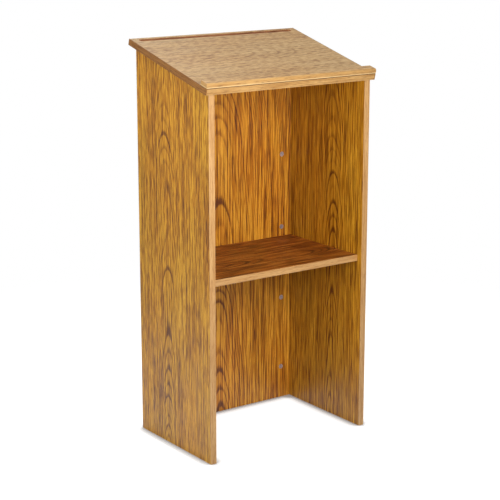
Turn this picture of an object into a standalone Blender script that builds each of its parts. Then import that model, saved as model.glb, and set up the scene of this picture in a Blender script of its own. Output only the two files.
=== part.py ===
"""Stand-up lectern: a sloped reading board on two side panels, with an audience panel and a storage shelf.

It is ready-to-assemble panel furniture: laminated boards with glued edge bands, placed by wood dowels and
pulled together by cam bolts and cam locks. The speaker stands on the open side.

Frame, in metres: X to the speaker's right, Y from the speaker towards the audience, Z up. The origin is on
the floor, under the middle of the lectern's bounding box.
"""

import math

import bmesh
import bpy
from mathutils import Matrix, Vector

# Overall size
OVERALL_WIDTH = 0.584
OVERALL_DEPTH = 0.400
OVERALL_HEIGHT = 1.168
SLOPE = math.radians(14.5)

# Boards and their edge bands
PANEL = 0.019
BAND = 0.002
BAND_ROUNDING = 0.0015
GAP = 0.0003

# Carcass
BODY_WIDTH = 0.5588
BODY_DEPTH = 0.369
FRONT_OVERHANG = 0.009
SHELF_TOP = 0.530
SHELF_RECESS = 0.020

# Paper stop: its height above the board, its depth along the slope and its rounded edges
STOP_HEIGHT = 0.014
STOP_DEPTH = 0.031
STOP_FRONT_ROUNDING = 0.007
STOP_REAR_ROUNDING = 0.0015

# Pencil groove: a round-nosed channel whose axis runs a little above the board
GROOVE_LENGTH = 0.540
GROOVE_RADIUS = 0.009
GROOVE_DEPTH = 0.007
GROOVE_TO_REAR = 0.019

# Cam lock and cam bolt
CAM_RADIUS = 0.0075
CAM_HEIGHT = 0.014
CAM_BORE_RADIUS = 0.0036
CAM_BORE_PAST_CENTRE = 0.0045
CROSS_LENGTH = 0.0085
CROSS_WIDTH = 0.0018
CROSS_DEPTH = 0.0026
CAM_DISTANCE = 0.034
BOLT_THREAD_RADIUS = 0.0028
BOLT_THREAD_LENGTH = 0.011
BOLT_FLANGE_RADIUS = 0.0037
BOLT_FLANGE_TOP = 0.0015
BOLT_SHAFT_RADIUS = 0.003
BOLT_NECK_RADIUS = 0.0018
BOLT_NECK_START = 0.0285
BOLT_HEAD_START = 0.0320
BOLT_HEAD_END = 0.0362
BOLT_HOLE_RADIUS = 0.004

# Wood dowel: a little less than half of it sits in the face of one panel, the rest in the edge of the other
DOWEL_RADIUS = 0.004
DOWEL_LENGTH = 0.030
DOWEL_CHAMFER = 0.001
DOWEL_IN_FACE = 0.012

# Countersunk screw through the board into the paper stop
SCREW_LENGTH = 0.028
SCREW_RADIUS = 0.0017
SCREW_TIP = 0.003
SCREW_HEAD_RADIUS = 0.0039
SCREW_HEAD_HEIGHT = 0.0024
SCREW_CROSS_LENGTH = 0.0042
SCREW_CROSS_WIDTH = 0.0010
SCREW_CROSS_DEPTH = 0.0012

# Where the fittings go
CAM_HEIGHTS = (0.1016, 0.3302, 0.5588, 0.7874)
DOWEL_HEIGHTS = (0.2159, 0.6731)
SHELF_CAM_DEPTHS = (0.050, 0.280)
SHELF_DOWEL_DEPTH = 0.165
BOARD_CAM_DEPTHS = (0.165, 0.330)
BOARD_DOWEL_DEPTH = 0.080
STOP_SCREW_PLACES = (-0.230, 0.0, 0.230)

# Fineness of round shapes
CAM_SIDES = 24
BOLT_SIDES = 10
DOWEL_SIDES = 12
GROOVE_SIDES = 24
BAND_SEGMENTS = 3
STOP_SEGMENTS = 6

# The board's own length and the place of its low top edge follow from the overall size. The rounded
# front of the leaning paper stop is the foremost point, and the board's high edge the rearmost.
SIN, COS = math.sin(SLOPE), math.cos(SLOPE)
STOP_LEAN = (
    (GAP + STOP_HEIGHT - STOP_FRONT_ROUNDING * (1 - SIN)) * SIN
    - STOP_FRONT_ROUNDING * (1 - COS) * COS
)
BOARD_LENGTH = (OVERALL_DEPTH - STOP_LEAN - PANEL * SIN) / COS
BOARD_FRONT = -OVERALL_DEPTH / 2 + STOP_LEAN
BOARD_FRONT_TOP = OVERALL_HEIGHT - BOARD_LENGTH * SIN

BODY_FRONT = BOARD_FRONT + FRONT_OVERHANG
BODY_REAR = BODY_FRONT + BODY_DEPTH
OUTER_X = BODY_WIDTH / 2
INNER_X = OUTER_X - PANEL
AUDIENCE_FACE = BODY_REAR - PANEL

# Directions along the board: up the slope, and square out of its face
UP_SLOPE = Vector((0, COS, SIN))
OUT_OF_BOARD = Vector((0, -SIN, COS))
RIGHT = Vector((1, 0, 0))
TO_AUDIENCE = Vector((0, 1, 0))
UP = Vector((0, 0, 1))
SIDES = {"left": -1, "right": 1}

MATERIALS = {
    "side_laminate": ((0.402, 0.171, 0.032), 0.45, 0.0),
    "audience_laminate": ((0.456, 0.188, 0.021), 0.45, 0.0),
    "shelf_laminate": ((0.156, 0.045, 0.007), 0.45, 0.0),
    "board_laminate": ((0.578, 0.402, 0.223), 0.40, 0.0),
    "side_band": ((0.753, 0.456, 0.223), 0.45, 0.0),
    "board_band": ((0.708, 0.376, 0.130), 0.45, 0.0),
    "zinc": ((0.45, 0.43, 0.44), 0.40, 1.0),
    "plated_steel": ((0.60, 0.58, 0.52), 0.35, 1.0),
    "beech": ((0.65, 0.46, 0.28), 0.70, 0.0),
}


def clear_scene():
    for obj in list(bpy.data.objects):
        bpy.data.objects.remove(obj, do_unlink=True)


def new_collection(name):
    collection = bpy.data.collections.new(name)
    bpy.context.scene.collection.children.link(collection)
    return collection


def make_material(name):
    colour, roughness, metallic = MATERIALS[name]
    material = bpy.data.materials.new(name)
    material.use_nodes = True
    shader = material.node_tree.nodes["Principled BSDF"]
    shader.inputs["Base Color"].default_value = (*colour, 1.0)
    shader.inputs["Roughness"].default_value = roughness
    shader.inputs["Metallic"].default_value = metallic
    material.diffuse_color = (*colour, 1.0)
    return material


def add_object(name, mesh, matrix=None):
    """A new object of the lectern that uses this mesh."""
    obj = bpy.data.objects.new(name, mesh)
    obj.matrix_world = matrix or Matrix.Identity(4)
    lectern.objects.link(obj)
    return obj


def as_cutter(obj):
    """Moves an object among the cutters, which aren't part of the lectern."""
    lectern.objects.unlink(obj)
    cutters.objects.link(obj)
    obj.hide_render = True
    obj.display_type = "WIRE"
    return obj


def cut(obj, *tools):
    for tool in tools:
        modifier = obj.modifiers.new(tool.name, "BOOLEAN")
        modifier.operation = "DIFFERENCE"
        modifier.solver = "EXACT"
        modifier.object = tool


def box(name, low, high, matrix=None):
    """A box from its low corner to its high corner, in world axes or in those of the matrix."""
    low, high = Vector(low), Vector(high)
    size = high - low
    mesh = bpy.data.meshes.new(name)
    shape = bmesh.new()
    place = Matrix.Translation((low + high) / 2) @ Matrix.Diagonal((*size, 1))
    bmesh.ops.create_cube(shape, size=1, matrix=place)
    shape.to_mesh(mesh)
    shape.free()
    return add_object(name, mesh, matrix)


def turned(name, profile, sides, matrix=None):
    """A solid turned about Z, from a profile of (radius, height) that runs down its outer side."""
    mesh = bpy.data.meshes.new(name)
    points = [(radius, 0, height) for radius, height in profile]
    lines = [(i, i + 1) for i in range(len(points) - 1)]
    mesh.from_pydata(points, lines, [])
    obj = add_object(name, mesh, matrix)
    screw = obj.modifiers.new("Turn", "SCREW")
    screw.axis = "Z"
    screw.angle = math.tau
    screw.steps = sides
    screw.render_steps = sides
    screw.use_merge_vertices = True
    screw.merge_threshold = 0.00001
    screw.use_smooth_shade = False
    return obj


def finished_mesh(obj, helpers=()):
    """The object's mesh with its modifiers applied. The object and its helpers are removed."""
    name = obj.name
    graph = bpy.context.evaluated_depsgraph_get()
    mesh = bpy.data.meshes.new_from_object(obj.evaluated_get(graph))
    for used in (obj, *helpers):
        bpy.data.objects.remove(used, do_unlink=True)
    mesh.name = name
    mesh.shade_smooth()
    mesh.set_sharp_from_angle(angle=math.radians(40))
    return mesh


def round_edges(obj, radius, segments, chosen):
    """Rounds the edges whose two ends pass the test."""
    shape = bmesh.new()
    shape.from_mesh(obj.data)
    edges = [edge for edge in shape.edges if chosen(*(corner.co for corner in edge.verts))]
    bmesh.ops.bevel(
        shape, geom=edges, offset=radius, segments=segments, profile=0.5, affect="EDGES"
    )
    shape.to_mesh(obj.data)
    shape.free()


def round_band(band, length_axis, face_axis, face):
    """Rounds the two long edges of a band's outer face."""

    def chosen(a, b):
        on_face = abs(a[face_axis] - face) < GAP and abs(b[face_axis] - face) < GAP
        return on_face and abs(a[length_axis] - b[length_axis]) > PANEL * 2

    round_edges(band, BAND_ROUNDING, BAND_SEGMENTS, chosen)


def frame_at(origin, x_direction, z_direction):
    """The matrix that puts a piece's origin at a point, with its X and Z along two square directions."""
    x, z = x_direction.normalized(), z_direction.normalized()
    y = z.cross(x)
    matrix = Matrix((x, y, z)).transposed().to_4x4()
    matrix.translation = origin
    return matrix


def on_board(x, along, out):
    """A point given by its place across the board, up the slope and out of the board's face."""
    corner = Vector((0, BOARD_FRONT, BOARD_FRONT_TOP))
    return corner + RIGHT * x + UP_SLOPE * along + OUT_OF_BOARD * out


def slope_frame():
    return frame_at(on_board(0, 0, 0), RIGHT, OUT_OF_BOARD)


def slope_cutter():
    """Everything above the underside of the reading board."""
    low = (-OVERALL_WIDTH, -OVERALL_DEPTH, -PANEL - GAP)
    high = (OVERALL_WIDTH, OVERALL_DEPTH * 2, OVERALL_HEIGHT)
    return as_cutter(box("above_underside", low, high, slope_frame()))


def make_side_panels():
    """The two side panels and the bands on their front and rear edges, cut to the slope at the top."""
    for side, sign in SIDES.items():
        low_x, high_x = sorted((sign * INNER_X, sign * OUTER_X))
        core_front = BODY_FRONT + BAND + GAP
        core_rear = BODY_REAR - BAND - GAP
        panel = box(f"{side}_side_panel", (low_x, core_front, 0), (high_x, core_rear, OVERALL_HEIGHT))
        front_high = (high_x, BODY_FRONT + BAND, OVERALL_HEIGHT)
        front = box(f"{side}_side_front_band", (low_x, BODY_FRONT, 0), front_high)
        rear_low = (low_x, BODY_REAR - BAND, 0)
        rear = box(f"{side}_side_rear_band", rear_low, (high_x, BODY_REAR, OVERALL_HEIGHT))
        round_band(front, 2, 1, BODY_FRONT)
        round_band(rear, 2, 1, BODY_REAR)
        for piece in (panel, front, rear):
            cut(piece, above_underside)
        panels[side] = panel


def make_audience_panel():
    """The panel between the sides that faces the audience, flush with their rear edges."""
    half = INNER_X - GAP
    low, high = (-half, AUDIENCE_FACE, 0), (half, BODY_REAR, OVERALL_HEIGHT)
    panel = box("audience_panel", low, high)
    cut(panel, above_underside)
    panels["audience"] = panel


def make_shelf():
    """The storage shelf, set back from the front edges of the sides, and its front band."""
    half = INNER_X - GAP
    front = BODY_FRONT + SHELF_RECESS
    bottom = SHELF_TOP - PANEL
    core_low = (-half, front + BAND + GAP, bottom)
    panels["shelf"] = box("storage_shelf", core_low, (half, AUDIENCE_FACE - GAP, SHELF_TOP))
    band = box("shelf_front_band", (-half, front, bottom), (half, front + BAND, SHELF_TOP))
    round_band(band, 0, 1, front)


def make_reading_board():
    """The board and its four bands, built flat in the frame of the slope."""
    place = slope_frame()
    half = OVERALL_WIDTH / 2
    core = half - BAND - GAP
    end = BOARD_LENGTH
    low = (-core, BAND + GAP, -PANEL)
    panels["board"] = box("reading_board", low, (core, end - BAND - GAP, 0), place)
    for name, start, face in (("front", 0, 0), ("rear", end - BAND, end)):
        band = box(f"board_{name}_band", (-core, start, -PANEL), (core, start + BAND, 0), place)
        round_band(band, 0, 1, face)
    for side, sign in SIDES.items():
        low_x, high_x = sorted((sign * half, sign * (half - BAND)))
        band = box(f"board_{side}_band", (low_x, 0, -PANEL), (high_x, end, 0), place)
        round_band(band, 1, 0, sign * half)


def make_paper_stop():
    """The strip on the board's low edge, rounded at its front top edge and eased at its rear one."""
    half = OVERALL_WIDTH / 2
    top = GAP + STOP_HEIGHT
    stop = box("paper_stop", (-half, 0, GAP), (half, STOP_DEPTH, top), slope_frame())

    def on_top(a, b):
        return a.z + b.z > 2 * top - GAP

    def front_top(a, b):
        return on_top(a, b) and a.y + b.y < GAP

    def other_top(a, b):
        return on_top(a, b) and a.y + b.y > STOP_DEPTH

    round_edges(stop, STOP_FRONT_ROUNDING, STOP_SEGMENTS, front_top)
    round_edges(stop, STOP_REAR_ROUNDING, BAND_SEGMENTS, other_top)
    panels["stop"] = stop


def quarter_circle(radius, centre, steps, start):
    """Profile points of a quarter turn downwards from a start angle, about a centre on the axis."""
    turns = [start - math.pi / 2 * step / steps for step in range(steps + 1)]
    return [(radius * math.cos(turn), centre + radius * math.sin(turn)) for turn in turns]


def make_pencil_groove():
    """A channel with a round nose and round ends, cut near the board's high edge."""
    reach = GROOVE_LENGTH / 2 - GROOVE_RADIUS
    steps = GROOVE_SIDES // 4
    top = quarter_circle(GROOVE_RADIUS, reach, steps, math.pi / 2)
    bottom = quarter_circle(GROOVE_RADIUS, -reach, steps, 0)
    profile = [(0, reach + GROOVE_RADIUS), *top[1:], *bottom[:-1], (0, -reach - GROOVE_RADIUS)]
    axis = on_board(0, BOARD_LENGTH - GROOVE_TO_REAR, GROOVE_RADIUS - GROOVE_DEPTH)
    groove = turned("pencil_groove", profile, GROOVE_SIDES, frame_at(axis, UP_SLOPE, RIGHT))
    cut(panels["board"], as_cutter(groove))


def cylinder_profile(radius, low, high):
    return [(0, high), (radius, high), (radius, low), (0, low)]


def make_cam_mesh():
    """A cam lock, its face at the origin and outwards along Z, open towards -X for the bolt's head."""
    body = turned("cam", cylinder_profile(CAM_RADIUS, -CAM_HEIGHT, 0), CAM_SIDES)
    bore_place = frame_at(Vector((0, 0, -PANEL / 2)), UP, RIGHT)
    bore_profile = cylinder_profile(CAM_BORE_RADIUS, -CAM_RADIUS * 2, CAM_BORE_PAST_CENTRE)
    tools = [turned("cam_bore", bore_profile, DOWEL_SIDES, bore_place)]
    tools += cross_cutters("cam_cross", CROSS_LENGTH, CROSS_WIDTH, CROSS_DEPTH)
    cut(body, *tools)
    return finished_mesh(body, tools)


def cross_cutters(name, length, width, depth):
    """Two crossed slots at the origin, sunk along -Z."""
    reach, half = length / 2, width / 2
    lengthways = box(f"{name}_1", (-reach, -half, -depth), (reach, half, depth))
    crossways = box(f"{name}_2", (-half, -reach, -depth), (half, reach, depth))
    return [lengthways, crossways]


def make_bolt_mesh():
    """A cam bolt along Z, its flange on the origin plane, thread below and head above."""
    head_edge = BOLT_SHAFT_RADIUS
    profile = [
        (0, BOLT_HEAD_END),
        (head_edge * 0.7, BOLT_HEAD_END),
        (head_edge, BOLT_HEAD_END - head_edge * 0.3),
        (head_edge, BOLT_HEAD_START),
        (BOLT_NECK_RADIUS, BOLT_HEAD_START),
        (BOLT_NECK_RADIUS, BOLT_NECK_START),
        (BOLT_SHAFT_RADIUS, BOLT_NECK_START),
        (BOLT_SHAFT_RADIUS, BOLT_FLANGE_TOP),
        (BOLT_FLANGE_RADIUS, BOLT_FLANGE_TOP),
        (BOLT_FLANGE_RADIUS, GAP),
        (BOLT_THREAD_RADIUS, GAP),
        (BOLT_THREAD_RADIUS, -BOLT_THREAD_LENGTH),
        (0, -BOLT_THREAD_LENGTH),
    ]
    return finished_mesh(turned("cam_bolt", profile, BOLT_SIDES))


def make_dowel_mesh():
    """A fluteless wood dowel about the middle of its length, along Z."""
    end = DOWEL_LENGTH / 2
    narrow = DOWEL_RADIUS - DOWEL_CHAMFER
    straight = end - DOWEL_CHAMFER
    profile = [(0, end), (narrow, end), (DOWEL_RADIUS, straight)]
    profile += [(DOWEL_RADIUS, -straight), (narrow, -end), (0, -end)]
    return finished_mesh(turned("dowel", profile, DOWEL_SIDES))


def make_screw_mesh():
    """A countersunk screw along Z, the face of its head at the origin and its tip above."""
    profile = [
        (0, SCREW_LENGTH),
        (SCREW_RADIUS, SCREW_LENGTH - SCREW_TIP),
        (SCREW_RADIUS, SCREW_HEAD_HEIGHT),
        (SCREW_HEAD_RADIUS, 0),
        (0, 0),
    ]
    body = turned("stop_screw", profile, DOWEL_SIDES)
    tools = cross_cutters("screw_cross", SCREW_CROSS_LENGTH, SCREW_CROSS_WIDTH, SCREW_CROSS_DEPTH)
    cut(body, *tools)
    return finished_mesh(body, tools)


def bolt_hole(name, matrix):
    """Narrow in the panel that takes the thread, wide in the edge of the panel that is pulled to it."""
    narrow = BOLT_THREAD_RADIUS + GAP
    profile = [
        (0, CAM_DISTANCE),
        (BOLT_HOLE_RADIUS, CAM_DISTANCE),
        (BOLT_HOLE_RADIUS, GAP / 2),
        (narrow, GAP / 2),
        (narrow, -BOLT_THREAD_LENGTH - GAP),
        (0, -BOLT_THREAD_LENGTH - GAP),
    ]
    return as_cutter(turned(f"{name}_hole", profile, BOLT_SIDES, matrix))


def cam_joint(name, base, held, origin, along, face):
    """A bolt in the face of the base panel at a point, and the cam that grips it inside the held panel.

    The name's # becomes bolt or cam. along is the bolt's direction, and the cam's face looks along face.
    """
    bolt_name = name.replace("#", "bolt")
    bolt_place = frame_at(origin, face.cross(along), along)
    add_object(bolt_name, bolt_mesh, bolt_place)
    hole = bolt_hole(bolt_name, bolt_place)

    cam_name = name.replace("#", "cam")
    cam_place = frame_at(origin + along * CAM_DISTANCE + face * (PANEL / 2), along, face)
    add_object(cam_name, cam_mesh, cam_place)
    pocket_profile = cylinder_profile(CAM_RADIUS + GAP, -CAM_HEIGHT - GAP, PANEL / 2)
    pocket = as_cutter(turned(f"{cam_name}_pocket", pocket_profile, CAM_SIDES, cam_place))

    cut(base, hole)
    cut(held, hole, pocket)


def dowel_joint(name, base, held, origin, along):
    """A dowel that stands in the face of the base panel and in the edge of the held panel."""
    place = frame_at(origin + along * (DOWEL_LENGTH / 2 - DOWEL_IN_FACE), face_across(along), along)
    add_object(name, dowel_mesh, place)
    half = DOWEL_LENGTH / 2 + GAP
    profile = cylinder_profile(DOWEL_RADIUS + GAP, -half, half)
    hole = as_cutter(turned(f"{name}_hole", profile, DOWEL_SIDES, place))
    cut(base, hole)
    cut(held, hole)


def face_across(along):
    """A direction square to a dowel's axis."""
    return RIGHT if abs(along.x) < 0.5 else UP


def fasten_audience_panel():
    middle = AUDIENCE_FACE + PANEL / 2
    for side, sign in SIDES.items():
        inward = RIGHT * -sign
        for number, height in enumerate(CAM_HEIGHTS, 1):
            origin = Vector((sign * INNER_X, middle, height))
            name = f"audience_panel_#_{side}_{number}"
            cam_joint(name, panels[side], panels["audience"], origin, inward, -TO_AUDIENCE)
        for number, height in enumerate(DOWEL_HEIGHTS, 1):
            origin = Vector((sign * INNER_X, middle, height))
            name = f"audience_panel_dowel_{side}_{number}"
            dowel_joint(name, panels[side], panels["audience"], origin, inward)


def fasten_shelf():
    middle = SHELF_TOP - PANEL / 2
    front = BODY_FRONT + SHELF_RECESS
    for side, sign in SIDES.items():
        inward = RIGHT * -sign
        for number, depth in enumerate(SHELF_CAM_DEPTHS, 1):
            origin = Vector((sign * INNER_X, front + depth, middle))
            cam_joint(f"shelf_#_{side}_{number}", panels[side], panels["shelf"], origin, inward, -UP)
        origin = Vector((sign * INNER_X, front + SHELF_DOWEL_DEPTH, middle))
        dowel_joint(f"shelf_dowel_{side}", panels[side], panels["shelf"], origin, inward)


def fasten_reading_board():
    for side, sign in SIDES.items():
        middle = sign * (OUTER_X - PANEL / 2)
        inward = RIGHT * -sign
        for number, depth in enumerate(BOARD_CAM_DEPTHS, 1):
            origin = on_board(middle, depth, -PANEL)
            name = f"board_#_{side}_{number}"
            cam_joint(name, panels["board"], panels[side], origin, -OUT_OF_BOARD, inward)
        origin = on_board(middle, BOARD_DOWEL_DEPTH, -PANEL)
        dowel_joint(f"board_dowel_{side}", panels["board"], panels[side], origin, -OUT_OF_BOARD)


def fasten_paper_stop():
    """Screws up through the board, their heads sunk in its underside."""
    narrow = SCREW_RADIUS + GAP
    wide = SCREW_HEAD_RADIUS + GAP
    profile = [
        (0, SCREW_LENGTH + GAP),
        (narrow, SCREW_LENGTH - SCREW_TIP + GAP),
        (narrow, SCREW_HEAD_HEIGHT + GAP),
        (wide, GAP),
        (wide, -PANEL),
        (0, -PANEL),
    ]
    for number, x in enumerate(STOP_SCREW_PLACES, 1):
        place = frame_at(on_board(x, STOP_DEPTH / 2, -PANEL + GAP), RIGHT, OUT_OF_BOARD)
        add_object(f"stop_screw_{number}", screw_mesh, place)
        hole = as_cutter(turned(f"stop_screw_{number}_hole", profile, DOWEL_SIDES, place))
        cut(panels["board"], hole)
        cut(panels["stop"], hole)


def material_of(name):
    """The finish of each piece, by the words in its name."""
    finishes = {
        "_cam_": "zinc",
        "_bolt_": "plated_steel",
        "screw": "plated_steel",
        "dowel": "beech",
        "_side_panel": "side_laminate",
        "audience_panel": "audience_laminate",
        "storage_shelf": "shelf_laminate",
        "reading_board": "board_laminate",
        "side_front_band": "side_band",
        "side_rear_band": "side_band",
        "shelf_front_band": "side_band",
        "_band": "board_band",
        "paper_stop": "board_band",
    }
    return next(finish for words, finish in finishes.items() if words in name)


def paint():
    """Gives each piece a material of its own, also where pieces share a mesh."""
    for obj in lectern.objects:
        finish = make_material(material_of(obj.name))
        finish.name = f"{obj.name}_{finish.name}"
        if not obj.data.materials:
            obj.data.materials.append(None)
        obj.material_slots[0].link = "OBJECT"
        obj.material_slots[0].material = finish


clear_scene()
lectern = new_collection("stand_up_lectern")
cutters = new_collection("cutters")
panels = {}

above_underside = slope_cutter()
make_side_panels()
make_audience_panel()
make_shelf()
make_reading_board()
make_paper_stop()
make_pencil_groove()

cam_mesh = make_cam_mesh()
bolt_mesh = make_bolt_mesh()
dowel_mesh = make_dowel_mesh()
screw_mesh = make_screw_mesh()
fasten_audience_panel()
fasten_shelf()
fasten_reading_board()
fasten_paper_stop()
paint()
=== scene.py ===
"""The looks of a stand-up lectern of oak laminate panels, on a white studio floor."""
import math

import bmesh
import bpy
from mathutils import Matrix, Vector


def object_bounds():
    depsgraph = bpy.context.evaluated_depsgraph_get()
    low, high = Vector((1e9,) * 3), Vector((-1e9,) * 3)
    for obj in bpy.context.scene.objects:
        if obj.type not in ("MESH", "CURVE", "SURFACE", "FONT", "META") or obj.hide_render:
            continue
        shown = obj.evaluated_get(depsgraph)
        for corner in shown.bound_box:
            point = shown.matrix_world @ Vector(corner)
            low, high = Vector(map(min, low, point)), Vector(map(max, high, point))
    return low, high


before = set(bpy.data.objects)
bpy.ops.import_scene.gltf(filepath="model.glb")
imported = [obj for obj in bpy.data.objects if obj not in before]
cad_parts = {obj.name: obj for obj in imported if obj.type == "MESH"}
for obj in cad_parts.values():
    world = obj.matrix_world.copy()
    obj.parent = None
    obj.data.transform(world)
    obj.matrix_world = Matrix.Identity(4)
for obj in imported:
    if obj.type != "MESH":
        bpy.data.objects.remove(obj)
cad_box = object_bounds()


def srgb(red, green, blue):
    """A linear colour from screen values of 0 to 255."""
    values = [value / 255 for value in (red, green, blue)]
    linear = [v / 12.92 if v <= 0.04045 else ((v + 0.055) / 1.055) ** 2.4 for v in values]
    return (*linear, 1.0)


# Camera: where it stands, seen from the middle of the object
CAMERA_AZIMUTH = math.radians(35.587)
CAMERA_ELEVATION = math.radians(13.76)
CAMERA_DISTANCE = 4.336
CAMERA_LENS = 106.2
CAMERA_SENSOR = 36.0
AIM_OFFSET = Vector((-0.0112, -0.0023, -0.0343))

# Lights: name, place from the middle of the object, size, power, colour
LIGHTS = (
    ("front", Vector((-0.28, -1.25, 0.50)), 0.8, 19.5, (1.0, 0.97, 0.92)),
    ("left", Vector((-1.8, -0.2, 0.70)), 0.9, 18.5, (1.0, 0.97, 0.92)),
    ("right", Vector((2.0, 0.3, 0.70)), 1.2, 12.0, (1.0, 0.98, 0.95)),
    ("rear", Vector((0.4, 2.2, 0.60)), 1.2, 14.0, (1.0, 0.98, 0.95)),
    ("top", Vector((0.0, 0.9, 2.4)), 2.4, 29.0, (1.0, 0.99, 0.97)),
)
SKY_STRENGTH = 0.36

# Floor: a pale paper that glows white, and whose glow dims near the panels in a painted contact shadow
FLOOR_COLOUR = srgb(150, 150, 152)
FLOOR_GLOW = 0.92
FLOOR_RADIUS = 3.0
FLOOR_FADE = (0.9, 1.9)
SHADOW_REACH = 0.040
SHADOW_DEPTH = 0.10

# Oak laminate colours: dark grain, middle tone, light grain, and the open pores
SIDE_OAK = (srgb(96, 50, 2), srgb(172, 115, 13), srgb(214, 160, 43), srgb(80, 42, 4))
AUDIENCE_OAK = (srgb(94, 46, 2), srgb(178, 112, 16), srgb(222, 160, 48), srgb(80, 38, 4))
# The shelf's oak is darker and redder than the sides': painted shade of the compartment under the board
SHADED_SHELF_OAK = (srgb(76, 32, 4), srgb(140, 76, 18), srgb(184, 116, 44), srgb(58, 24, 4))
# The reading board's oak is paler and greyer than the sides': painted sheen of the overhead light on its
# satin face
BOARD_OAK_AND_SHEEN = (srgb(146, 106, 62), srgb(184, 146, 94), srgb(204, 170, 118), srgb(120, 84, 48))
CORE_CHIPS = (srgb(150, 112, 70), srgb(206, 172, 124))
GROOVE_TONES = (srgb(118, 68, 38), srgb(166, 110, 72))

# Colours of the edge bands: dark flecks, middle tone, light streaks
SIDE_BAND = (srgb(132, 84, 40), srgb(174, 128, 74), srgb(198, 156, 102))
BOARD_BAND = (srgb(84, 50, 18), srgb(162, 117, 60), srgb(196, 155, 96))
BOARD_END_BAND = (srgb(60, 30, 6), srgb(122, 76, 26), srgb(162, 112, 50))

# The grain of each laminate. figure is where the log's middle lies across and behind the panel, in metres,
# and how narrow its arches are. shares are how much the rings show away from the figure's axis and on it,
# and how much the long lines and the short flecks show. flecks are their waves per metre across and along.
SIDE_GRAIN = {"shares": (0.38, 0.56, 0.40, 0.38), "contrast": 1.35}
LEFT_GRAIN = {"figure": (0.03, 0.36, 2.0), "flecks": (400.0, 24.0), **SIDE_GRAIN}
RIGHT_GRAIN = {"figure": (-0.05, -0.20, 2.0), "flecks": (400.0, 14.0), **SIDE_GRAIN}
AUDIENCE_GRAIN = {
    "figure": (-0.01, -0.10, 1.4),
    "shares": (0.44, 0.62, 0.44, 0.34),
    "flecks": (400.0, 13.0),
    "contrast": 1.35,
}
SHELF_GRAIN = {
    "figure": (-0.05, -0.43, 1.6),
    "shares": (0.50, 0.80, 0.38, 0.44),
    "flecks": (90.0, 11.0),
    "contrast": 1.1,
}
BOARD_GRAIN = {
    "figure": (0.30, -0.95, 1.6),
    "shares": (0.26, 0.32, 0.34, 0.44),
    "flecks": (220.0, 42.0),
    "contrast": 1.35,
}

# The seam of the paper stop on the board's front band: a dark line of painted shade reaches this far from
# it, in metres, and a pale line of painted highlight above it three times as far
SEAM_REACH = 0.0016
SEAM_SHADE = srgb(74, 40, 12)
SEAM_HIGHLIGHT = srgb(236, 208, 156)

# The depth of the pencil groove, in metres under the board's face, where its darker rosy brown starts and
# is full
GROOVE_START = 0.0004
GROOVE_FULL = 0.0014

# Growth rings: their distance in metres, how much deeper the log's middle lies for each metre along the
# panel, and in metres how far it swings in depth, wanders sideways and ripples
RING_PERIOD = 0.0085
RING_TAPER = 0.15
RING_SWING = 0.085
RING_WANDER = 0.030
RING_RIPPLE = 0.0035

# The dark early wood of a ring, as shares of the ring: where it rises and where it falls off, and how
# weak the weakest ring's is
EARLY_RISE = (0.0, 0.16)
EARLY_FALL = (0.18, 0.55)
WEAKEST_RING = 0.20

# How far from its axis, in metres, the figure is strongest and how far it reaches
FIGURE_REACH = (0.012, 0.050)

# The darkness of the grain, summed over its layers, from which the middle tone turns to the dark one
GRAIN_MIDDLE = 0.46

# Waves per metre across and along the grain: of the laminate's lines, pores and patches, and of the edge
# bands' streaks, flecks and tone
LINE_WAVES = (250.0, 3.5)
PORE_WAVES = (1150.0, 70.0)
PATCH_WAVES = (7.0, 2.0)
BAND_STREAK_WAVES = (240.0, 9.0)
BAND_FLECK_WAVES = (700.0, 50.0)
BAND_TONE_WAVES = (8.0, 3.0)


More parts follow.
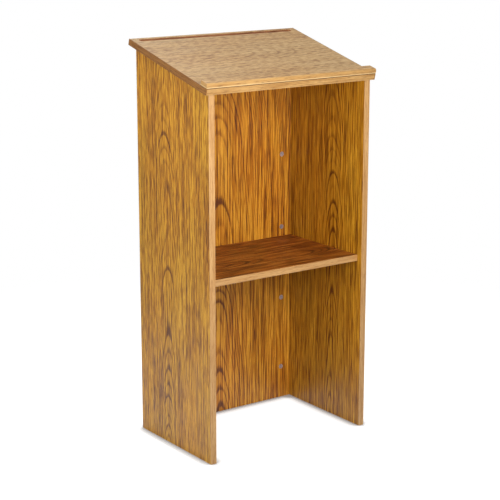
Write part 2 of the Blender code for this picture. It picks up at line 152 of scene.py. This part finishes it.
class Finish:
    """A material in the making, with one short call for each kind of node."""

    def __init__(self, name):
        self.material = bpy.data.materials.new(name)
        self.material.use_nodes = True
        self.nodes = self.material.node_tree.nodes
        self.links = self.material.node_tree.links
        self.surface = self.nodes["Principled BSDF"]

    def put(self, value, socket):
        """Links an output to a socket, or sets the socket to a plain value."""
        if isinstance(value, bpy.types.NodeSocket):
            self.links.new(value, socket)
        else:
            socket.default_value = value

    def node(self, kind, inputs, output=0, **settings):
        made = self.nodes.new("ShaderNode" + kind)
        for name, value in settings.items():
            setattr(made, name, value)
        for key, value in inputs.items():
            self.put(value, made.inputs[key])
        return made.outputs[output]

    def math(self, operation, first, second=0.0):
        return self.node("Math", {0: first, 1: second}, operation=operation)

    def ramp(self, value, low, high, to_low=0.0, to_high=1.0):
        """A smooth step of a value from one range to another."""
        inputs = {
            "Value": value,
            "From Min": low,
            "From Max": high,
            "To Min": to_low,
            "To Max": to_high,
        }
        return self.node("MapRange", inputs, interpolation_type="SMOOTHSTEP")

    def mix(self, share, first, second, blend="MIX"):
        inputs = {0: share, 6: first, 7: second}
        return self.node("Mix", inputs, output=2, data_type="RGBA", blend_type=blend)

    def stretch(self, place, across, along, through):
        inputs = {0: place, 1: (across, along, through)}
        return self.node("VectorMath", inputs, operation="MULTIPLY")

    def noise(self, place, across, along, detail=2.0, roughness=0.5):
        """Noise with this many waves per metre across and along the grain."""
        vector = self.stretch(place, across, along, across)
        inputs = {"Vector": vector, "Scale": 1.0, "Detail": detail, "Roughness": roughness}
        return self.node("TexNoise", inputs)

    def grain_place(self, axes, tilt, offset):
        """Places in the wood, as across, along and through the grain: twice, as a vector that is
        moved by an offset so that two panels differ, and as the three plain numbers."""
        coordinates = self.node("TexCoord", {}, output="Object")
        turned = self.node("Mapping", {"Vector": coordinates, "Rotation": (-tilt, 0, 0)})
        split = self.nodes.new("ShaderNodeSeparateXYZ")
        self.put(turned, split.inputs[0])
        parts = [split.outputs["XYZ".index(axis)] for axis in axes]
        vector = self.node("CombineXYZ", {0: parts[0], 1: parts[1], 2: parts[2]})
        moved = self.node("VectorMath", {0: vector, 1: offset}, operation="ADD")
        return moved, parts

    def facing(self, direction):
        """How squarely the surface faces along a direction or against it, from 0 to 1."""
        normal = self.node("NewGeometry", {}, output="True Normal")
        product = self.node(
            "VectorMath", {0: normal, 1: direction}, output="Value", operation="DOT_PRODUCT"
        )
        return self.math("ABSOLUTE", product)

    def along(self, direction):
        """How far each point lies along a direction."""
        coordinates = self.node("TexCoord", {}, output="Object")
        inputs = {0: coordinates, 1: direction}
        return self.node("VectorMath", inputs, output="Value", operation="DOT_PRODUCT")

    def bump(self, height, distance, strength=0.5):
        inputs = {"Height": height, "Distance": distance, "Strength": strength}
        self.put(self.node("Bump", inputs), self.surface.inputs["Normal"])

    def set(self, **values):
        for name, value in values.items():
            self.put(value, self.surface.inputs[name.replace("_", " ")])


def growth_rings(finish, place, parts, figure):
    """How dark the early wood of a growth ring is at each point, and how near the figure's axis it is."""
    across, along, through = parts
    centre, pith, squash = figure
    wander = finish.math("SUBTRACT", finish.noise(place, 4.0, 1.3), 0.5)
    ripple = finish.math("SUBTRACT", finish.noise(place, 50.0, 2.5), 0.5)
    swing = finish.math("SUBTRACT", finish.noise(place, 2.5, 2.5, detail=1.0), 0.5)
    moved = finish.math("SUBTRACT", across, centre)
    moved = finish.math("ADD", moved, finish.math("MULTIPLY", wander, RING_WANDER))
    moved = finish.math("ADD", moved, finish.math("MULTIPLY", ripple, RING_RIPPLE))
    depth = finish.math("ADD", through, pith)
    depth = finish.math("ADD", depth, finish.math("MULTIPLY", along, RING_TAPER))
    depth = finish.math("ADD", depth, finish.math("MULTIPLY", swing, RING_SWING))
    squashed = finish.math("MULTIPLY", moved, squash)
    squares = finish.math("MULTIPLY", squashed, squashed)
    squares = finish.math("ADD", squares, finish.math("MULTIPLY", depth, depth))
    rings = finish.math("DIVIDE", finish.math("SQRT", squares), RING_PERIOD)
    phase = finish.math("FRACT", rings)
    number = finish.math("FLOOR", rings)
    own = finish.node("TexWhiteNoise", {"W": number}, noise_dimensions="1D")
    rise = finish.ramp(phase, *EARLY_RISE)
    fall = finish.ramp(phase, *EARLY_FALL, 1.0, 0.0)
    early = finish.math("MULTIPLY", rise, fall)
    early = finish.math("MULTIPLY", early, finish.ramp(own, 0.0, 1.0, WEAKEST_RING, 1.0))
    near = finish.ramp(finish.math("ABSOLUTE", moved), *FIGURE_REACH, 1.0, 0.0)
    return early, near


def oak_colour(finish, place, parts, palette, figure, shares, flecks, contrast):
    """The colour of oak laminate, and how deep its open pores are."""
    dark, middle, light, pore_colour = palette
    far_share, near_share, line_share, tick_share = shares
    early, near = growth_rings(finish, place, parts, figure)
    lines = finish.ramp(finish.noise(place, *LINE_WAVES, detail=1.0), 0.38, 0.62)
    ticks = finish.ramp(finish.noise(place, *flecks, detail=1.0), 0.44, 0.58)
    shade = finish.math("MULTIPLY", early, finish.ramp(near, 0.0, 1.0, far_share, near_share))
    for layer, share in ((lines, line_share), (ticks, tick_share)):
        shade = finish.math("ADD", shade, finish.math("MULTIPLY", layer, share))
    shade = finish.math("SUBTRACT", shade, GRAIN_MIDDLE)
    shade = finish.math("MULTIPLY", shade, contrast)
    colour = finish.mix(finish.ramp(shade, -GRAIN_MIDDLE, 0.04), light, middle)
    colour = finish.mix(finish.ramp(shade, 0.0, 0.60), colour, dark)
    patches = finish.noise(place, *PATCH_WAVES)
    colour = finish.mix(finish.ramp(patches, 0.35, 0.65, 0.0, 0.20), colour, middle, "SOFT_LIGHT")
    pores = finish.ramp(finish.noise(place, *PORE_WAVES, detail=1.0), 0.57, 0.66)
    pores = finish.math("MULTIPLY", pores, finish.ramp(early, 0.0, 0.6, 0.25, 1.0))
    colour = finish.mix(finish.math("MULTIPLY", pores, 0.62), colour, pore_colour)
    return colour, pores


def chip_core(finish):
    """The colour of the chipboard that a cut edge or a drilled hole lays bare."""
    coordinates = finish.node("TexCoord", {}, output="Object")
    chips = finish.node("TexVoronoi", {"Vector": coordinates, "Scale": 420.0}, output="Color")
    shade = finish.node("SeparateColor", {0: chips})
    return finish.mix(shade, *CORE_CHIPS)


def groove_share(finish, outward, height):
    """How far a point lies in the groove: below the face at this height, and not on the far side."""
    depths = (height - GROOVE_FULL, height - GROOVE_START)
    sunk = finish.ramp(finish.along(outward), *depths, 1.0, 0.0)
    normal = finish.node("NewGeometry", {}, output="True Normal")
    upward = finish.node(
        "VectorMath", {0: normal, 1: outward}, output="Value", operation="DOT_PRODUCT"
    )
    return finish.math("MULTIPLY", sunk, finish.ramp(upward, 0.02, 0.15))


def laminate(name, palette, grain, axes, face, offset, tilt=0.0, gloss=0.42, groove=None):
    """Oak laminate on a panel's two faces, and bare chipboard on its edges and in its holes."""
    finish = Finish(name)
    place, parts = finish.grain_place(axes, tilt, offset)
    colour, pores = oak_colour(finish, place, parts, palette, **grain)
    faced = finish.ramp(finish.facing(face), 0.80, 0.90)
    colour = finish.mix(faced, chip_core(finish), colour)
    if groove:
        # In the groove the colour turns a darker rosy brown
        groove_tone = finish.mix(finish.ramp(finish.noise(place, 300.0, 20.0), 0.35, 0.65), *GROOVE_TONES)
        colour = finish.mix(groove_share(finish, *groove), colour, groove_tone)
    rough = finish.ramp(finish.noise(place, 90.0, 12.0), 0.3, 0.7, gloss - 0.04, gloss + 0.06)
    rough = finish.math("ADD", rough, finish.math("MULTIPLY", pores, 0.18))
    rough = finish.ramp(faced, 0.0, 1.0, 0.9, rough)
    finish.set(Base_Color=colour, Roughness=rough)
    finish.bump(finish.math("MULTIPLY", pores, -1.0), 0.0002, 0.6)
    return finish


def seam_shade_and_highlight(finish, colour, outward, height):
    """A colour with a dark line of painted shade at this height along a direction, and a pale line of
    painted highlight above it.
    """
    apart = finish.math("SUBTRACT", finish.along(outward), height)
    # A pale line of painted highlight just above the seam
    above = finish.ramp(apart, 0.0, SEAM_REACH)
    fading = finish.ramp(apart, SEAM_REACH, 3 * SEAM_REACH, 0.65, 0.0)
    colour = finish.mix(finish.math("MULTIPLY", above, fading), colour, SEAM_HIGHLIGHT)
    # A dark line of painted shade along the seam
    near = finish.ramp(finish.math("ABSOLUTE", apart), SEAM_REACH / 2, SEAM_REACH, 0.80, 0.0)
    return finish.mix(near, colour, SEAM_SHADE)


def edge_band(name, palette, axes, offset, face, tilt=0.0, seam=None, upper=None):
    """A band of printed plastic along a panel's edge, with fine flecks, polished on its rounding and
    lighter there in a painted highlight. It can have a seam with another piece, painted as a dark line of
    shade under a pale painted highlight, and the reading board's laminate on the face that looks along
    upper."""
    finish = Finish(name)
    place, parts = finish.grain_place(axes, tilt, offset)
    dark, middle, light = palette
    streaks = finish.ramp(finish.noise(place, *BAND_STREAK_WAVES, detail=3.0), 0.30, 0.72)
    flecks = finish.ramp(finish.noise(place, *BAND_FLECK_WAVES, detail=1.0), 0.54, 0.66)
    tone = finish.ramp(finish.noise(place, *BAND_TONE_WAVES), 0.35, 0.65)
    colour = finish.mix(streaks, light, middle)
    colour = finish.mix(finish.math("MULTIPLY", tone, 0.35), colour, middle)
    colour = finish.mix(finish.math("MULTIPLY", flecks, 0.45), colour, dark)
    polish_and_highlight = finish.ramp(finish.facing(face), 0.86, 0.99, 1.0, 0.0)
    # Painted highlight: the rounding turns towards the light tone; the same mask makes it smoother
    colour = finish.mix(finish.math("MULTIPLY", polish_and_highlight, 0.40), colour, light)
    if upper:
        oak, _ = oak_colour(finish, place, parts, BOARD_OAK_AND_SHEEN, **BOARD_GRAIN)
        colour = finish.mix(finish.ramp(finish.facing(upper), 0.86, 0.98), colour, oak)
    if seam:
        # Painted shade along the seam, with a painted highlight above it
        colour = seam_shade_and_highlight(finish, colour, *seam)
    rough = finish.ramp(polish_and_highlight, 0.0, 1.0, 0.38, 0.28)
    rough = finish.math("ADD", rough, finish.math("MULTIPLY", flecks, 0.12))
    finish.set(Base_Color=colour, Roughness=rough)
    finish.bump(finish.math("MULTIPLY", flecks, -1.0), 0.00012, 0.5)
    return finish


def metal(name, bright, dull, roughness):
    """Cast or plated metal, with a grainy skin and duller patches."""
    finish = Finish(name)
    coordinates = finish.node("TexCoord", {}, output="Object")
    grains = finish.node("TexNoise", {"Vector": coordinates, "Scale": 2600.0, "Detail": 3.0})
    patches = finish.node("TexNoise", {"Vector": coordinates, "Scale": 320.0, "Detail": 2.0})
    share = finish.ramp(patches, 0.35, 0.65)
    colour = finish.mix(share, bright, dull)
    rough = finish.ramp(grains, 0.3, 0.7, roughness - 0.08, roughness + 0.12)
    finish.set(Base_Color=colour, Roughness=rough, Metallic=1.0)
    finish.bump(grains, 0.00008, 0.4)
    return finish


def beech(name):
    """Bare turned beech, with short flecks along the dowel."""
    finish = Finish(name)
    place, _ = finish.grain_place("YXZ", 0.0, (3.1, 0.4, 1.7))
    flecks = finish.ramp(finish.noise(place, 900.0, 160.0), 0.52, 0.66)
    waves = finish.ramp(finish.noise(place, 260.0, 30.0), 0.3, 0.7)
    colour = finish.mix(waves, srgb(214, 182, 140), srgb(192, 152, 108))
    colour = finish.mix(finish.math("MULTIPLY", flecks, 0.5), colour, srgb(150, 108, 68))
    finish.set(Base_Color=colour, Roughness=0.7)
    finish.bump(flecks, 0.0001, 0.4)
    return finish


def board_plane():
    """The normal of the reading board's upper face, and how far along it that face lies."""
    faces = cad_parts["reading_board"].data.polygons
    largest = max(faces, key=lambda face: face.area * face.normal.z)
    return largest.normal, largest.normal.dot(largest.center)


def make_finishes():
    """Every finish, by the name of the node or by the words in the names of the nodes that use it."""
    out_of_board, top_of_board = board_plane()
    slope = math.atan2(-out_of_board.y, out_of_board.z)
    up_slope = (0, out_of_board.z, -out_of_board.y)
    to_right, to_rear, up = (1, 0, 0), (0, 1, 0), (0, 0, 1)
    seam = (out_of_board, top_of_board)
    return {
        "_cam_": metal("zinc_cam", srgb(226, 218, 224), srgb(176, 166, 176), 0.50),
        "_bolt_": metal("plated_steel", srgb(206, 198, 178), srgb(168, 158, 136), 0.32),
        "screw": metal("screw_steel", srgb(206, 198, 178), srgb(168, 158, 136), 0.32),
        "dowel": beech("beech_dowel"),
        "left_side_panel": laminate(
            "left_side_laminate", SIDE_OAK, LEFT_GRAIN, "YZX", to_right, (0.2, 0.3, 0.7)
        ),
        "right_side_panel": laminate(
            "right_side_laminate", SIDE_OAK, RIGHT_GRAIN, "YZX", to_right, (2.2, 1.3, 4.7)
        ),
        "audience_panel": laminate(
            "audience_laminate", AUDIENCE_OAK, AUDIENCE_GRAIN, "XZY", to_rear, (5.2, 7.3, 1.7)
        ),
        "storage_shelf": laminate(
            "shelf_laminate", SHADED_SHELF_OAK, SHELF_GRAIN, "YXZ", up, (1.4, 3.6, 6.1)
        ),
        "reading_board": laminate(
            "board_laminate", BOARD_OAK_AND_SHEEN, BOARD_GRAIN, "YXZ", out_of_board, (8.4, 2.6, 3.1),
            tilt=slope, gloss=0.38, groove=(out_of_board, top_of_board)
        ),
        "side_front_band": edge_band(
            "side_front_band", SIDE_BAND, "XZY", (1.1, 2.2, 3.3), to_rear
        ),
        "side_rear_band": edge_band(
            "side_rear_band", SIDE_BAND, "XZY", (4.1, 1.2, 2.3), to_rear
        ),
        "shelf_front_band": edge_band(
            "shelf_front_band", SIDE_BAND, "ZXY", (0.1, 5.2, 1.3), to_rear
        ),
        "board_front_band": edge_band(
            "board_front_band", BOARD_BAND, "ZXY", (6.1, 0.2, 1.3), up_slope, tilt=slope, seam=seam
        ),
        "board_rear_band": edge_band(
            "board_rear_band", BOARD_BAND, "ZXY", (2.1, 3.2, 5.3), up_slope, tilt=slope
        ),
        "board_left_band": edge_band(
            "board_left_band", BOARD_END_BAND, "ZYX", (7.1, 3.2, 0.3), to_right, tilt=slope
        ),
        "board_right_band": edge_band(
            "board_right_band", BOARD_END_BAND, "ZYX", (3.1, 8.2, 2.3), to_right, tilt=slope
        ),
        "paper_stop": edge_band(
            "stop_oak", BOARD_BAND, "YXZ", (9.1, 4.2, 2.3), up_slope, tilt=slope, seam=seam,
            upper=out_of_board
        ),
    }


def finish_nodes():
    """Gives each CAD node its finish."""
    finishes = make_finishes()
    for name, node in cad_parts.items():
        finish = next(finish for words, finish in finishes.items() if words in name)
        for slot in node.material_slots:
            slot.material = finish.material


def make_floor():
    """A white floor round the object that glows, with a painted contact shadow where its glow dims near
    the panels, and fades into the white of the studio.
    """
    mesh = bpy.data.meshes.new("floor")
    shape = bmesh.new()
    bmesh.ops.create_circle(shape, cap_ends=True, segments=96, radius=FLOOR_RADIUS)
    shape.to_mesh(mesh)
    shape.free()
    floor = bpy.data.objects.new("floor", mesh)
    bpy.context.scene.collection.objects.link(floor)
    finish = Finish("floor_paper")
    coordinates = finish.node("TexCoord", {}, output="Object")
    length = finish.node("VectorMath", {0: coordinates}, output="Value", operation="LENGTH")
    reach = {"Distance": SHADOW_REACH}
    open_share = finish.node("AmbientOcclusion", reach, output="AO", samples=8)
    finish.set(
        Base_Color=FLOOR_COLOUR,
        Roughness=0.9,
        Emission_Color=(1.0, 1.0, 1.0, 1.0),
        # The glow dims where ambient occlusion finds the panels near: a painted contact shadow
        Emission_Strength=finish.ramp(open_share, 0.5, 1.0, FLOOR_GLOW * SHADOW_DEPTH, FLOOR_GLOW),
        Alpha=finish.ramp(length, *FLOOR_FADE, 1.0, 0.0),
    )
    mesh.materials.append(finish.material)
    floor.visible_diffuse = False


def make_world():
    """White to look at, and a softer even light on the object."""
    world = bpy.data.worlds.new("studio")
    bpy.context.scene.world = world
    world.use_nodes = True
    nodes, links = world.node_tree.nodes, world.node_tree.links
    background = nodes["Background"]
    background.inputs["Color"].default_value = (1.0, 1.0, 1.0, 1.0)
    path = nodes.new("ShaderNodeLightPath")
    strength = nodes.new("ShaderNodeMapRange")
    strength.inputs["To Min"].default_value = SKY_STRENGTH
    strength.inputs["To Max"].default_value = 1.0
    links.new(path.outputs["Is Camera Ray"], strength.inputs["Value"])
    links.new(strength.outputs["Result"], background.inputs["Strength"])


def make_lights(middle):
    for name, place, size, power, colour in LIGHTS:
        data = bpy.data.lights.new(name, "AREA")
        data.shape = "SQUARE"
        data.size = size
        data.energy = power
        data.color = colour
        light = bpy.data.objects.new(name, data)
        bpy.context.scene.collection.objects.link(light)
        light.location = middle + place
        light.rotation_euler = (-place).to_track_quat("-Z", "Y").to_euler()


def make_camera(middle):
    data = bpy.data.cameras.new("camera")
    data.lens = CAMERA_LENS
    data.sensor_width = CAMERA_SENSOR
    camera = bpy.data.objects.new("camera", data)
    bpy.context.scene.collection.objects.link(camera)
    level = math.cos(CAMERA_ELEVATION)
    looking = Vector(
        (
            math.sin(CAMERA_AZIMUTH) * level,
            math.cos(CAMERA_AZIMUTH) * level,
            -math.sin(CAMERA_ELEVATION),
        )
    )
    camera.location = middle + AIM_OFFSET - looking * CAMERA_DISTANCE
    camera.rotation_euler = looking.to_track_quat("-Z", "Y").to_euler()
    bpy.context.scene.camera = camera


middle_of_object = (cad_box[0] + cad_box[1]) / 2
bpy.context.scene.view_settings.view_transform = "Standard"
finish_nodes()
make_floor()
make_world()
make_lights(middle_of_object)
make_camera(middle_of_object)
